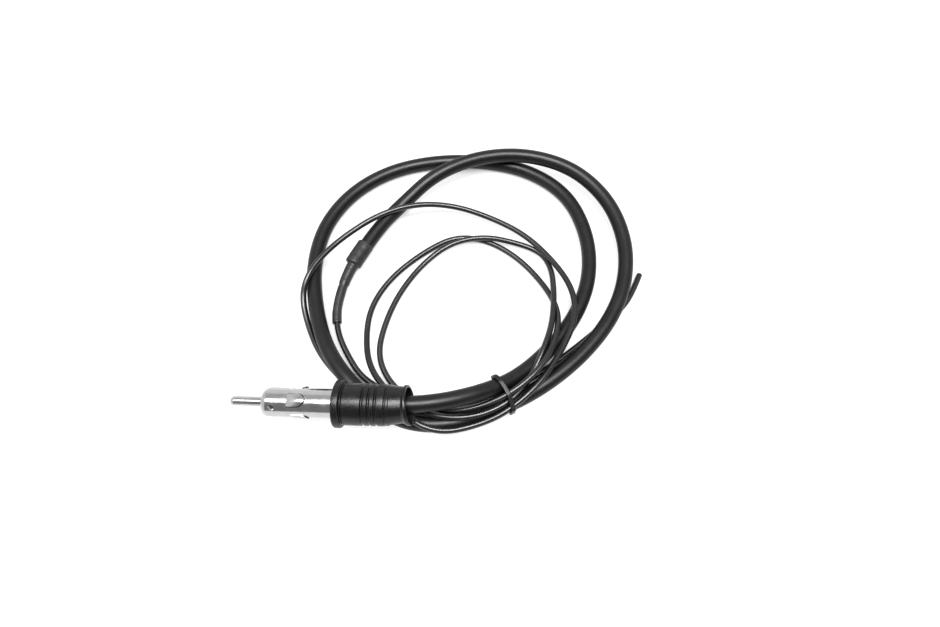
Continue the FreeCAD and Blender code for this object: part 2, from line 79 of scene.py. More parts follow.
# The coaxial lead, from inside the plug round both turns into the sleeve: (x, y, height over the floor)
LEAD_ROUTE: Route = (
    (24.0, 0.0, 14.2), (38.0, 0.0, 14.2), (52.0, 0.8, 14.2),
    (66.0, 5.0, 11.4), (79.1, 12.2, 5.6), (91.5, 24.0, 3.4), (101.8, 38.3, 2.8), (107.6, 54.5, 2.7),
    (107.5, 73.0, 2.7), (100.7, 91.3, 2.7), (85.3, 103.2, 2.7), (66.5, 107.3, 2.7), (47.0, 106.8, 2.7),
    (28.5, 101.3, 2.7), (14.0, 90.0, 2.7), (5.0, 74.0, 2.7), (3.2, 56.0, 2.7), (6.8, 38.0, 2.9),
    (13.3, 21.7, 4.4), (24.5, 8.2, 5.9), (39.0, -1.9, 2.9), (54.5, -3.7, 2.7), (70.0, 0.8, 3.7),
    (86.0, 8.6, 4.5), (101.0, 20.5, 4.8), (113.0, 35.1, 5.3), (119.9, 51.5, 5.3), (121.0, 69.0, 6.0),
    (115.5, 86.5, 7.0), (102.5, 100.2, 8.3), (84.0, 106.3, 8.7), (65.0, 104.5, 8.7), (47.5, 96.0, 8.0),
    (34.5, 84.0, 3.2), (25.3, 71.5, 3.2), (18.8, 56.5, 3.2),
)

# The radiator wire, from the splice through its three loops to the cut end
WIRE_ROUTE: Route = (
    (17.7, 54.0, 3.0), (16.1, 49.6, 2.7), (14.9, 42.9, 2.4), (14.6, 35.9, 2.1), (16.2, 28.3, 1.8),
    (20.3, 20.8, 1.4), (26.3, 12.5, 1.1), (36.5, 6.9, 1.8), (45.5, 1.9, 5.0), (55.5, -2.0, 7.0),
    (67.0, -1.1, 7.4), (77.2, 3.9, 8.2), (83.8, 12.2, 7.5), (88.5, 22.4, 9.3), (92.0, 33.0, 7.2),
    (93.1, 45.5, 6.4), (93.0, 57.1, 2.6), (89.5, 64.6, 1.4), (80.0, 68.2, 1.9), (67.5, 69.4, 4.0),
    (54.9, 67.1, 2.6), (44.8, 58.9, 1.1), (36.9, 46.5, 1.1), (32.4, 33.5, 1.1), (30.9, 21.0, 1.1),
    (36.0, 11.0, 1.1), (44.5, 4.8, 1.8), (55.5, 0.4, 5.8), (66.2, 1.4, 7.5), (78.0, 6.4, 10.2),
    (88.1, 16.0, 10.7), (93.0, 27.2, 8.8), (94.6, 38.6, 5.0), (90.1, 50.8, 1.3), (80.7, 62.0, 1.1),
    (69.0, 69.4, 1.1), (56.5, 71.0, 1.1), (44.8, 63.8, 1.1), (32.9, 52.2, 1.1), (26.4, 39.5, 1.1),
    (26.1, 27.0, 1.2), (29.1, 15.3, 3.2), (37.4, 5.8, 4.9), (45.0, -3.3, 7.5), (54.5, -6.4, 6.2),
    (65.5, -4.0, 5.8), (76.1, 0.6, 7.4), (86.8, 10.1, 8.9), (94.9, 22.8, 7.2), (100.2, 34.6, 7.2),
    (99.9, 46.6, 6.2), (93.7, 58.8, 4.6), (83.3, 70.8, 3.8), (70.0, 78.6, 3.4), (55.5, 83.3, 4.2),
    (41.0, 81.8, 7.0), (27.0, 76.3, 7.4), (14.3, 66.0, 6.8), (6.5, 55.7, 7.2), (3.1, 47.7, 7.0),
    (1.7, 40.9, 3.5), (4.9, 31.0, 1.3), (10.5, 20.8, 1.1), (19.0, 12.1, 1.1), (26.0, 8.0, 1.1),
    (34.5, 4.9, 1.1), (43.0, 2.0, 1.1), (52.5, 1.0, 1.4), (63.0, 2.8, 2.2), (75.0, 8.0, 2.5),
    (86.5, 14.5, 2.4), (97.5, 23.0, 1.4), (108.0, 32.0, 1.1), (118.0, 41.0, 1.1), (123.0, 48.1, 1.1),
    (126.4, 55.8, 1.1),
)


class Slot(Enum):
    """Material slots of the record, one named for each new piece's finish."""

    PLATED_METAL = "plated_metal"
    COPPER = "copper"
    BOOT_RUBBER = "boot_rubber"
    CABLE_JACKET = "cable_jacket"
    WIRE_JACKET = "wire_jacket"
    SLEEVE = "sleeve"
    TIE = "tie"


class NodeBench:
    """Node tree of one material, with short calls that add and join its nodes."""

    def __init__(self, name: str) -> None:
        """Start a material with a shader and the object's own coordinates."""
        self.material = bpy.data.materials.new(name)
        self.material.use_nodes = True
        self.nodes = self.material.node_tree.nodes
        self.links = self.material.node_tree.links
        self.shader = self.nodes["Principled BSDF"]
        self.place = self.nodes.new("ShaderNodeTexCoord").outputs["Object"]

    def stretched(self, scale: Triple) -> Socket:
        """Coordinates scaled apart along the axes.

        Args:
            scale: Factor along x, y and z.

        Returns:
            The socket of the scaled coordinates.
        """
        mapping = self.nodes.new("ShaderNodeMapping")
        mapping.inputs["Scale"].default_value = scale
        self.links.new(self.place, mapping.inputs["Vector"])
        return mapping.outputs["Vector"]

    def cloud(self, scale: float, detail: float = 2.0,
              place: Socket | None = None) -> Socket:
        """Noise between 0 and 1.

        Args:
            scale: Features to the metre.
            detail: Octaves of finer noise.
            place: Coordinates to use in place of the object's own.

        Returns:
            The noise's value socket.
        """
        texture = self.nodes.new("ShaderNodeTexNoise")
        texture.inputs["Scale"].default_value = scale
        texture.inputs["Detail"].default_value = detail
        self.links.new(place or self.place, texture.inputs["Vector"])
        return texture.outputs["Fac"]

    def spread(self, source: Socket, low: float, high: float,
               start: float = NOISE_RANGE[0], stop: float = NOISE_RANGE[1]) -> Socket:
        """Stretch a value's middle range over another range.

        Args:
            source: Value socket, about 0 to 1.
            low: Result at the start of the range.
            high: Result at its end.
            start: Source value that gives low.
            stop: Source value that gives high.

        Returns:
            The socket of the new value.
        """
        reach = self.nodes.new("ShaderNodeMapRange")
        for socket, value in (("From Min", start), ("From Max", stop), ("To Min", low), ("To Max", high)):
            reach.inputs[socket].default_value = value
        self.links.new(source, reach.inputs["Value"])
        return reach.outputs["Result"]

    def greys(self, source: Socket, dark: float, light: float) -> None:
        """Run the base colour between two greys by a noise."""
        self.tint(source, (dark,) * 3, (light,) * 3)

    def tint(self, source: Socket, first: Triple,
             second: Triple) -> None:
        """Run the base colour between two colours.

        Args:
            source: Value socket that chooses between them.
            first: Colour at the low end.
            second: Colour at the high end.
        """
        ramp = self.nodes.new("ShaderNodeValToRGB")
        for stop, place, colour in zip(ramp.color_ramp.elements, NOISE_RANGE, (first, second)):
            stop.position = place
            stop.color = (*colour, 1.0)
        self.links.new(source, ramp.inputs["Fac"])
        self.links.new(ramp.outputs["Color"], self.shader.inputs["Base Color"])

    def rough(self, source: Socket, low: float, high: float) -> None:
        """Run the roughness between two values by a noise."""
        self.links.new(self.spread(source, low, high), self.shader.inputs["Roughness"])

    def bump(self, *layers: tuple[Socket, float]) -> None:
        """Raise the surface by heights laid one over another.

        Args:
            layers: Height socket and depth in metres of each layer.
        """
        below = None
        for height, depth in layers:
            raised = self.nodes.new("ShaderNodeBump")
            raised.inputs["Strength"].default_value = 1.0
            raised.inputs["Distance"].default_value = depth
            self.links.new(height, raised.inputs["Height"])
            if below:
                self.links.new(below, raised.inputs["Normal"])
            below = raised.outputs["Normal"]
        self.links.new(below, self.shader.inputs["Normal"])


@dataclass(frozen=True)
class NickelPlate:
    """Bright nickel on drawn brass, with fine lines along the drawing and a worn haze."""

    name: str = "nickel_plate"
    dark: float = 0.50
    light: float = 0.58
    smooth: float = 0.13
    hazy: float = 0.21
    line_depth: float = 0.0000012

    def material(self) -> Finish:
        """Build the finish."""
        bench = NodeBench(self.name)
        lines = bench.cloud(1.0, 3.0, bench.stretched((160.0, 5200.0, 5200.0)))
        haze = bench.cloud(420.0, 4.0)
        bench.greys(haze, self.dark, self.light)
        bench.rough(haze, self.smooth, self.hazy)
        bench.bump((lines, self.line_depth), (bench.cloud(900.0, 1.0), 4 * self.line_depth))
        bench.shader.inputs["Metallic"].default_value = 1.0
        return bench.material


@dataclass(frozen=True)
class BlackPolymer:
    """Black rubber or vinyl: a dark grey with a grain, a slow waviness and uneven gloss."""

    name: str
    dark: float
    light: float
    smooth: float
    hazy: float
    grain: float
    grain_depth: float
    wave_depth: float
    specular: float = 0.5

    def material(self) -> Finish:
        """Build the finish."""
        bench = NodeBench(self.name)
        patches, haze = bench.cloud(130.0, 4.0), bench.cloud(380.0, 5.0)
        waves, grain = bench.cloud(260.0, 2.0), bench.cloud(self.grain, 3.0)
        bench.greys(patches, self.dark, self.light)
        bench.rough(haze, self.smooth, self.hazy)
        bench.bump((waves, self.wave_depth), (grain, self.grain_depth))
        bench.shader.inputs["Specular IOR Level"].default_value = self.specular
        return bench.material


@dataclass(frozen=True)
class PlainStock:
    """Stuff of the pieces inside: pale plastic, copper or solder, with mottled colour and gloss."""

    name: str
    first: Triple
    second: Triple
    smooth: float
    hazy: float
    metallic: float = 0.0
    mottle_depth: float = 0.000006

    def material(self) -> Finish:
        """Build the finish."""
        bench = NodeBench(self.name)
        mottle = bench.cloud(900.0, 3.0)
        bench.tint(mottle, self.first, self.second)
        bench.rough(bench.cloud(500.0, 3.0), self.smooth, self.hazy)
        bench.bump((mottle, self.mottle_depth))
        bench.shader.inputs["Metallic"].default_value = self.metallic
        return bench.material


NICKEL = NickelPlate()
BOOT_RUBBER = BlackPolymer("boot_rubber", 0.002, 0.004, 0.26, 0.38, 1700.0, 0.000045, 0.00003, 0.58)
LEAD_VINYL = BlackPolymer("lead_vinyl", 0.003, 0.006, 0.36, 0.44, 3000.0, 0.000006, 0.00003)
WIRE_VINYL = BlackPolymer("wire_vinyl", 0.002, 0.004, 0.26, 0.32, 3600.0, 0.000002, 0.000003, 1.0)
SHRUNK_TUBE = BlackPolymer("shrunk_tube", 0.022, 0.034, 0.36, 0.46, 2200.0, 0.000012, 0.00004)
TIE_COATING = BlackPolymer("tie_coating", 0.004, 0.007, 0.34, 0.44, 2800.0, 0.000012, 0.00002)
DARK_BUSH = PlainStock("dark_bush", (0.020, 0.018, 0.016), (0.034, 0.031, 0.028), 0.35, 0.5)
PALE_CORE = PlainStock("pale_core", (0.72, 0.71, 0.67), (0.82, 0.81, 0.78), 0.35, 0.5)
BARE_COPPER = PlainStock("bare_copper", (0.72, 0.38, 0.24), (0.80, 0.47, 0.31), 0.28, 0.42, 1.0)
DULL_SOLDER = PlainStock("dull_solder", (0.52, 0.52, 0.53), (0.62, 0.62, 0.63), 0.3, 0.45, 1.0)


def link(piece: Piece) -> Piece:
    """Put an object into the scene."""
    bpy.context.scene.collection.objects.link(piece)
    return piece


def smooth_faces(mesh: bpy.types.Mesh, sharp_degrees: float) -> None:
    """Shade a mesh smooth, apart from edges whose faces meet at more than an angle."""
    mesh.polygons.foreach_set("use_smooth", [True] * len(mesh.polygons))
    mesh.set_sharp_from_angle(angle=math.radians(sharp_degrees))


def mesh_piece(name: str, work: BMesh, sharp_degrees: float = 35.0) -> Piece:
    """Turn a finished bmesh into a smooth object with crisp edges.

    Args:
        name: Name of the piece.
        work: The mesh, which is freed.
        sharp_degrees: Angle between faces over which an edge stays crisp.

    Returns:
        The linked object.
    """
    bmesh.ops.recalc_face_normals(work, faces=work.faces)
    mesh = bpy.data.meshes.new(name)
    work.to_mesh(mesh)
    work.free()
    smooth_faces(mesh, sharp_degrees)
    return link(bpy.data.objects.new(name, mesh))


def apply_modifiers(piece: Piece, sharp_degrees: float) -> None:
    """Replace a piece's mesh by the result of its modifiers.

    Args:
        piece: The object.
        sharp_degrees: Angle between faces over which an edge stays crisp.
    """
    shaped = piece.evaluated_get(bpy.context.evaluated_depsgraph_get())
    result = bpy.data.meshes.new_from_object(shaped)
    rough = piece.data
    piece.modifiers.clear()
    piece.data = result
    bpy.data.meshes.remove(rough)
    smooth_faces(result, sharp_degrees)


def bridge(work: BMesh, first: Row, second: Row, closed: bool) -> None:
    """Join two rows of points by a strip of faces.

    Args:
        work: The mesh.
        first: One row.
        second: The other row, with as many points.
        closed: Whether the rows are rings.
    """
    for step in range(len(first) if closed else len(first) - 1):
        after = (step + 1) % len(first)
        work.faces.new((first[step], first[after], second[after], second[step]))


def smooth_step(value: float, start: float, stop: float) -> float:
    """Ease from 0 at start to 1 at stop."""
    share = min(max((value - start) / (stop - start), 0.0), 1.0)
    return share * share * (3.0 - 2.0 * share)


def rounded_outline(corners: Sequence[Triple], closed: bool, steps: int = 7) -> Outline:
    """Outline with an arc at each corner.

    Args:
        corners: Place along the axis, radius and rounding of each corner, in millimetres.
        closed: Whether the last corner joins the first.
        steps: Pieces of each arc.

    Returns:
        Points of the outline in order.
    """
    spots = [Vector(corner[:2]) for corner in corners]
    backs = [before - spot for spot, before in zip(spots, spots[-1:] + spots[:-1])]
    aheads = [after - spot for spot, after in zip(spots, spots[1:] + spots[:1])]
    reaches = []
    for index, (corner, back, ahead) in enumerate(zip(corners, backs, aheads)):
        inside = closed or 0 < index < len(spots) - 1
        reaches.append(corner[2] / math.tan(back.angle(ahead) / 2) if inside else 0.0)
    points: Outline = []
    for index, (spot, back, ahead) in enumerate(zip(spots, backs, aheads)):
        if not reaches[index]:
            points.append((spot.x, spot.y))
            continue
        half = back.angle(ahead) / 2
        following = reaches[(index + 1) % len(spots)]
        painted_gap_shade = max(1.0, (reaches[index] + reaches[index - 1]) / back.length,
                       (reaches[index] + following) / ahead.length)
        reach = reaches[index] / painted_gap_shade
        radius = reach * math.tan(half)
        to_back, to_ahead = back.normalized(), ahead.normalized()
        middle = spot + (to_back + to_ahead).normalized() * (radius / math.sin(half))
        start = spot + to_back * reach - middle
        turn = start.angle_signed(spot + to_ahead * reach - middle)
        for step in range(steps + 1):
            arm = Matrix.Rotation(-turn * step / steps, 2) @ start
            points.append((middle.x + arm.x, middle.y + arm.y))
    return points


def lathe(outline: Outline, closed: bool, segments: int) -> BMesh:
    """Turn an outline about the plug's axis.

    Args:
        outline: Place along the axis and radius of each point, in millimetres.
        closed: Whether the last point joins the first.
        segments: Facets round the axis.

    Returns:
        The turned mesh.
    """
    work = bmesh.new()
    rings = []
    for place, radius in outline:
        ring = []
        for step in range(segments):
            angle = 2 * math.pi * step / segments
            spot = Vector((place, radius * math.cos(angle), radius * math.sin(angle)))
            ring.append(work.verts.new(spot * MM))
        rings.append(ring)
    for ring, following in zip(rings, rings[1:] + rings[:1] if closed else rings[1:]):
        bridge(work, ring, following, True)
    bmesh.ops.remove_doubles(work, verts=work.verts, dist=MM * 1e-4)
    return work


def in_row_frame(route: Route) -> list[Vector]:
    """Route in metres in the row's frame, from millimetres with heights over the floor."""
    return [Vector((x, y, height - REST_HEIGHT)) * MM for x, y, height in route]


def smooth_line(name: str, route: Route) -> bpy.types.Curve:
    """Smooth curve that a route's points pull into shape.

    Args:
        name: Name of the curve.
        route: Points of the route.

    Returns:
        The curve, with no thickness.
    """
    curve = bpy.data.curves.new(name, "CURVE")
    curve.dimensions = "3D"
    spline = curve.splines.new("NURBS")
    spline.points.add(len(route) - 1)
    for point, spot in zip(spline.points, in_row_frame(route)):
        point.co = (*spot, 1.0)
    spline.order_u = 3
    spline.use_endpoint_u = True
    spline.resolution_u = 10
    return curve


def laid_cord(name: str, route: Route, diameter: float, roundness: int) -> Piece:
    """Round cord along a route's smooth line.

    Args:
        name: Name of the cord.
        route: Points of the route.
        diameter: Its thickness in millimetres.
        roundness: Steps of its round section.

    Returns:
        The linked object.
    """
    curve = smooth_line(name, route)
    curve.bevel_depth = diameter / 2 * MM
    curve.bevel_resolution = roundness
    curve.use_fill_caps = True
    return link(bpy.data.objects.new(name, curve))


def line_points(route: Route) -> list[Vector]:
    """Points along a route's smooth line, in millimetres.

    Args:
        route: Points of the route.

    Returns:
        The line's own points in order.
    """
    curve = smooth_line("guide", route)
    guide = bpy.data.objects.new("guide", curve)
    mesh = bpy.data.meshes.new_from_object(guide)
    points = [vertex.co / MM for vertex in mesh.vertices]
    bpy.data.meshes.remove(mesh)
    bpy.data.curves.remove(curve)
    return points


def evenly_spaced(points: Sequence[Vector], step: float) -> list[Vector]:
    """Points an even step apart along a line.

    Args:
        points: The line.
        step: Distance wanted between points.

    Returns:
        New points, with both ends kept.
    """
    lengths = [0.0]
    for first, second in zip(points, points[1:]):
        lengths.append(lengths[-1] + (second - first).length)
    count = max(round(lengths[-1] / step), 1)
    spaced = []
    run = 0
    for index in range(count + 1):
        goal = lengths[-1] * index / count
        while run < len(points) - 2 and lengths[run + 1] < goal:
            run += 1
        share = (goal - lengths[run]) / (lengths[run + 1] - lengths[run])
        spaced.append(points[run].lerp(points[run + 1], share))
    return spaced


def dress(piece: Piece, material: Finish, slot: Slot,
          *nodes: str) -> Piece:
    """Give a piece its finish, its body and the solids that it stands for.

    Args:
        piece: The object.
        material: Its finish.
        slot: Slot of the record that the finish belongs to; not used.
        nodes: Solids that it stands for.

    Returns:
        The same object.
    """
    piece.data.materials.clear()
    piece.data.materials.append(material)
    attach(piece, BODY)
    if nodes:
        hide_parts(*nodes)
    LOG.info("%s stands for %s", piece.name, ", ".join(nodes) or "no solid")
    return piece


@dataclass(frozen=True)
class Panel:
    """Soft rectangle of light over the object, in metres and watts."""

    name: str
    middle: Pair
    size: Pair
    power: float

    def hang(self, height: float) -> None:
        """Hang the light at a height over the plug's axis."""
        data = bpy.data.lights.new(self.name, "AREA")
        data.shape = "RECTANGLE"
        data.size, data.size_y = self.size
        data.energy = self.power
        link(bpy.data.objects.new(self.name, data)).location = (*self.middle, height)


@dataclass
class Studio:
    """Pale floor, soft light from above and a camera where the photograph was taken from.

    The camera's place is in millimetres, and the floor and the lights are in metres.
    """

    focal_length: float = 19.149
    sensor_width: float = 36.0
    camera_place: Triple = (65.19, -37.65, 152.8)
    camera_tilt: float = 24.5
    camera_turn: float = 1.7
    camera_near: float = 0.005
    floor_middle: Pair = (0.06, 0.05)
    floor_size: float = 6.0
    floor_greys: Pair = (0.15, 0.16)
    floor_glow: float = 0.86
    # Painted shade on the floor: reach, samples and occlusion range over which the floor's glow fades out
    # in narrow gaps
    gap_reach: float = 0.010
    gap_samples: int = 8
    gap_shades: Pair = (0.10, 0.32)
    panel_height: float = 0.70
    panels: tuple[Panel, ...] = (
        Panel("soft_panel", (0.02, -0.06), (0.90, 0.22), 4.1),
        Panel("panel_core", (0.10, -0.03), (0.28, 0.20), 6.5),
        Panel("panel_edge", (0.02, 0.11), (0.90, 0.12), 0.30),
    )
    room_greys: tuple[Pair, ...] = (
        (0.0, 0.34), (0.32, 0.34), (0.60, 0.65), (0.84, 0.71), (0.91, 1.08))
    card_edge: Pair = (-0.48, -0.60)
    card_light: float = 1.0
    picture_gamma: float = 0.86

    def build(self) -> None:
        """Set up the camera, the floor, the lights and the room round them."""
        self.add_camera()
        self.add_floor()
        for panel in self.panels:
            panel.hang(self.panel_height)
        self.add_room()
        view = bpy.context.scene.view_settings
        view.view_transform = "Standard"
        view.gamma = self.picture_gamma

    def add_camera(self) -> None:
        """Camera at the photograph's place, turn and angle of view."""
        data = bpy.data.cameras.new("camera")
        data.sensor_width = self.sensor_width
        data.lens = self.focal_length
        data.clip_start = self.camera_near
        camera = link(bpy.data.objects.new("camera", data))
        camera.location = Vector(self.camera_place) * MM
        camera.rotation_euler = (math.radians(self.camera_tilt), 0.0, math.radians(self.camera_turn))
        bpy.context.scene.camera = camera

    def add_floor(self) -> None:
        """Wide sheet under the coil that glows evenly, with painted shade: its glow is dimmed by ambient
        occlusion in narrow gaps.
        """
        work = bmesh.new()
        bmesh.ops.create_grid(work, x_segments=4, y_segments=4, size=self.floor_size / 2)
        floor = mesh_piece("floor", work)
        floor.location = (*self.floor_middle, -REST_HEIGHT * MM)
        bench = NodeBench("glowing_floor")
        bench.greys(bench.cloud(90.0, 3.0), *self.floor_greys)
        bench.rough(bench.cloud(300.0, 3.0), 0.75, 0.9)
        bench.bump((bench.cloud(2500.0, 2.0), 0.000004))
        bench.shader.inputs["Emission Color"].default_value = (1.0, 1.0, 1.0, 1.0)
        # Painted shade: ambient occlusion dims the floor's glow in narrow gaps between the strands
        painted_gap_shade = bench.nodes.new("ShaderNodeAmbientOcclusion")
        painted_gap_shade.samples = self.gap_samples
        painted_gap_shade.inputs["Distance"].default_value = self.gap_reach
        glow = bench.spread(painted_gap_shade.outputs["AO"], 0.0, self.floor_glow, *self.gap_shades)
        bench.links.new(glow, bench.shader.inputs["Emission Strength"])
        floor.data.materials.append(bench.material)

    def add_room(self) -> None:
        """Dim room in front, lighter wall behind and a white card on the left, with a plain backdrop."""
        world = bpy.data.worlds.new("room")
        world.use_nodes = True
        bpy.context.scene.world = world
        nodes, links = world.node_tree.nodes, world.node_tree.links
        parts = nodes.new("ShaderNodeSeparateXYZ")
        links.new(nodes.new("ShaderNodeTexCoord").outputs["Generated"], parts.inputs["Vector"])
        reach = nodes.new("ShaderNodeMapRange")
        reach.inputs["From Min"].default_value = -1.0
        links.new(parts.outputs["Y"], reach.inputs["Value"])
        ramp = nodes.new("ShaderNodeValToRGB")
        while len(ramp.color_ramp.elements) < len(self.room_greys):
            ramp.color_ramp.elements.new(1.0)
        for element, (place, grey) in zip(ramp.color_ramp.elements, self.room_greys):
            element.position = place
            element.color = (grey, grey, grey, 1.0)
        links.new(reach.outputs["Result"], ramp.inputs["Fac"])
        card = nodes.new("ShaderNodeMapRange")
        for socket, value in zip(("From Min", "From Max", "To Max"), (*self.card_edge, self.card_light)):
            card.inputs[socket].default_value = value
        links.new(parts.outputs["X"], card.inputs["Value"])
        light = ramp.outputs["Color"]
        backdrop = nodes.new("ShaderNodeLightPath").outputs["Is Camera Ray"]
        for other in (card.outputs["Result"], backdrop):
            brighter = nodes.new("ShaderNodeMath")
            brighter.operation = "MAXIMUM"
            links.new(light, brighter.inputs[0])
            links.new(other, brighter.inputs[1])
            light = brighter.outputs["Value"]
        links.new(light, nodes["Background"].inputs["Color"])


@dataclass
class ContactPin:
    """Centre contact: round-nosed pin, shank through the bush and a solder cup."""

    finish: Finish
    radius: float = 1.5
    length: float = 10.4
    nose: float = 1.45
    shank_radius: float = 1.1
    shank_length: float = 8.0
    cup_length: float = 3.2
    cup_bore: float = 0.43
    cup_depth: float = 2.4
    segments: int = 72

    def build(self) -> Piece:
        """Turn and dress the pin.

        Returns:
            The dressed object.
        """
        cup_end = self.shank_length + self.cup_length
        outline = rounded_outline([
            (-self.length, 0.0, 0.0), (-self.length, self.radius, self.nose), (0.0, self.radius, 0.05),
            (0.0, self.shank_radius, 0.05), (self.shank_length, self.shank_radius, 0.05),
            (self.shank_length, self.radius, 0.1), (cup_end, self.radius, 0.15),
            (cup_end, self.cup_bore, 0.1), (cup_end - self.cup_depth, self.cup_bore, 0.0),
            (cup_end - self.cup_depth, 0.0, 0.0),
        ], closed=False, steps=9)
        pin = mesh_piece("pin", lathe(outline, False, self.segments))
        return dress(pin, self.finish, Slot.PLATED_METAL, "contact_pin")


@dataclass
class Barrel:
    """Drawn barrel with a staking hole and spring tabs lanced out of its wall."""

    finish: Finish
    radius: float = 4.55
    wall: float = 0.5
    length: float = 28.0
    nose: float = 2.2
    nose_hole: float = 2.1
    hole_radius: float = 0.9
    hole_floor: float = 0.3
    hole_place: float = 3.9
    hole_roll: float = 38.0
    tab_roll: float = 5.0
    tab_root: float = 8.5
    tab_length: float = 5.45
    tab_width: float = 4.0
    tab_point: float = 2.4
    tab_rises: tuple[float, ...] = (0.85, 0.4, 0.85, 0.5)
    tab_shifts: tuple[float, ...] = (0.0, 0.8, 0.0, -0.6)
    tab_bend: float = 0.62
    tab_crown: float = 0.16
    tab_slit: float = 0.15
    tab_rows: int = 22
    tab_columns: int = 16
    window_steps: int = 14
    window_floor: float = 0.6
    crisp_degrees: float = 30.0
    segments: int = 192

    def build(self) -> Piece:
        """Turn the tube, cut it, add the tabs and dress it.

        Returns:
            The dressed object.
        """
        inside = self.radius - self.wall
        outline = rounded_outline([
            (0.0, self.nose_hole, 0.12), (0.0, self.radius, self.nose), (self.length, self.radius, 0.1),
            (self.length, inside, 0.1), (self.wall, inside, self.nose - self.wall),
            (self.wall, self.nose_hole, 0.1),
        ], closed=True, steps=12)
        barrel = mesh_piece("barrel_shell", lathe(outline, True, self.segments), self.crisp_degrees)
        cutters = [self.stake_cutter()]
        cutters += [self.window_cutter(degrees, shift) for degrees, _, shift in self.tabs()]
        for cutter in cutters:
            cut = barrel.modifiers.new("cut", "BOOLEAN")
            cut.object = cutter
            cut.solver = "EXACT"
        apply_modifiers(barrel, self.crisp_degrees)
        for cutter in cutters:
            bpy.data.objects.remove(cutter)
        self.add_tabs(barrel)
        return dress(barrel, self.finish, Slot.PLATED_METAL, "barrel")

    def tabs(self) -> list[Triple]:
        """Roll, rise and shift along the axis of each tab, from the top one towards the near side."""
        pitch = 360.0 / len(self.tab_rises)
        return [(self.tab_roll + pitch * index, rise, shift)
                for index, (rise, shift) in enumerate(zip(self.tab_rises, self.tab_shifts))]

    def roll(self, degrees: float) -> Matrix:
        """Turn about the plug's axis."""
        return Matrix.Rotation(math.radians(degrees), 4, "X")

    def half_width(self, place: float, grow: float) -> float:
        """Half the shield's width at a place along the axis.

        Args:
            place: Distance from the root.
            grow: How far the outline stands outside the tab.

        Returns:
            Half the width there.
        """
        half = self.tab_width / 2 + grow
        point = self.tab_point + grow
        shoulder = self.tab_length - self.tab_point
        if place <= shoulder:
            return half
        arch = (half * half + point * point) / (2 * half)
        beyond = min(place - shoulder, point)
        return max(math.sqrt(arch * arch - beyond * beyond) - (arch - half), 0.0)

    def window_cutter(self, degrees: float, shift: float) -> Piece:
        """Prism of the window under one tab.

        Args:
            degrees: Roll of the tab.
            shift: How far the tab lies further along the axis.

        Returns:
            The cutter.
        """
        reach = self.tab_length + self.tab_slit
        shoulder = self.tab_length - self.tab_point
        places = [0.0, shoulder]
        for step in range(1, self.window_steps + 1):
            places.append(shoulder + (reach - shoulder) * math.sin(math.pi / 2 * step / self.window_steps))
        upper = [(place, self.half_width(place, self.tab_slit)) for place in places]
        lower = [(place, -half) for place, half in reversed(upper) if half > 1e-4]
        work = bmesh.new()
        root = self.tab_root + shift
        floor = self.window_floor * self.radius
        work.faces.new([work.verts.new((root + place, side, floor)) for place, side in upper + lower])
        lifted = bmesh.ops.extrude_face_region(work, geom=work.faces[:])
        raised = [item for item in lifted["geom"] if isinstance(item, bmesh.types.BMVert)]
        bmesh.ops.translate(work, vec=(0.0, 0.0, self.radius), verts=raised)
        bmesh.ops.transform(work, matrix=Matrix.Scale(MM, 4) @ self.roll(degrees), verts=work.verts)
        return mesh_piece("window_cutter", work)

    def stake_cutter(self) -> Piece:
        """Tapered punch of the staking hole, as wide again above the wall as it narrows below."""
        work = bmesh.new()
        place = Matrix.Translation((self.hole_place, 0.0, self.radius))
        bmesh.ops.create_cone(work, cap_ends=True, segments=40, radius1=self.hole_floor,
                              radius2=2 * self.hole_radius - self.hole_floor, depth=3 * self.wall,
                              matrix=self.roll(self.hole_roll) @ place)
        bmesh.ops.transform(work, matrix=Matrix.Scale(MM, 4), verts=work.verts)
        return mesh_piece("stake_cutter", work)

    def tab_spot(self, share: float, side: float, rise: float, inner: bool) -> Vector:
        """Point of a tab that stands on top of the barrel.

        Args:
            share: 0 at the root, 1 at the free end.
            side: -1 to 1 across the tab.
            rise: How far the free end stands out.
            inner: Whether the point is on the tab's underside.

        Returns:
            The point in millimetres.
        """
        place = self.tab_length * share
        across = side * self.half_width(place, 0.0)
        lift = rise * math.tanh(share / self.tab_bend) / math.tanh(1.0 / self.tab_bend)
        crown = self.tab_crown * smooth_step(share, 0.0, self.tab_bend) * (2 * across / self.tab_width) ** 2
        radius = self.radius + lift - crown - (self.wall if inner else 0.0)
        return Vector((self.tab_root + place, across, math.sqrt(radius * radius - across * across)))

    def add_tabs(self, barrel: Piece) -> None:
        """Add the bent tongues to the barrel's mesh.

        Args:
            barrel: The cut tube.
        """
        along, across = self.tab_rows, self.tab_columns
        work = bmesh.new()
        work.from_mesh(barrel.data)
        for degrees, rise, shift in self.tabs():
            turn = Matrix.Translation((shift, 0.0, 0.0)) @ self.roll(degrees)
            sheets = []
            for inner in (False, True):
                sheets.append([[work.verts.new((turn @ self.tab_spot(
                    math.sin(math.pi / 2 * row / along), 2.0 * column / across - 1.0, rise, inner)) * MM)
                    for column in range(across + 1)] for row in range(along + 1)])
            for sheet in sheets:
                for row, following in zip(sheet, sheet[1:]):
                    bridge(work, row, following, False)
            outer, under = sheets
            for column in (0, -1):
                bridge(work, [row[column] for row in outer], [row[column] for row in under], False)
            for row in (0, -1):
                bridge(work, outer[row], under[row], False)
        bmesh.ops.remove_doubles(work, verts=work.verts, dist=MM * 1e-3)
        bmesh.ops.recalc_face_normals(work, faces=work.faces)
        work.to_mesh(barrel.data)
        work.free()
        smooth_faces(barrel.data, self.crisp_degrees)


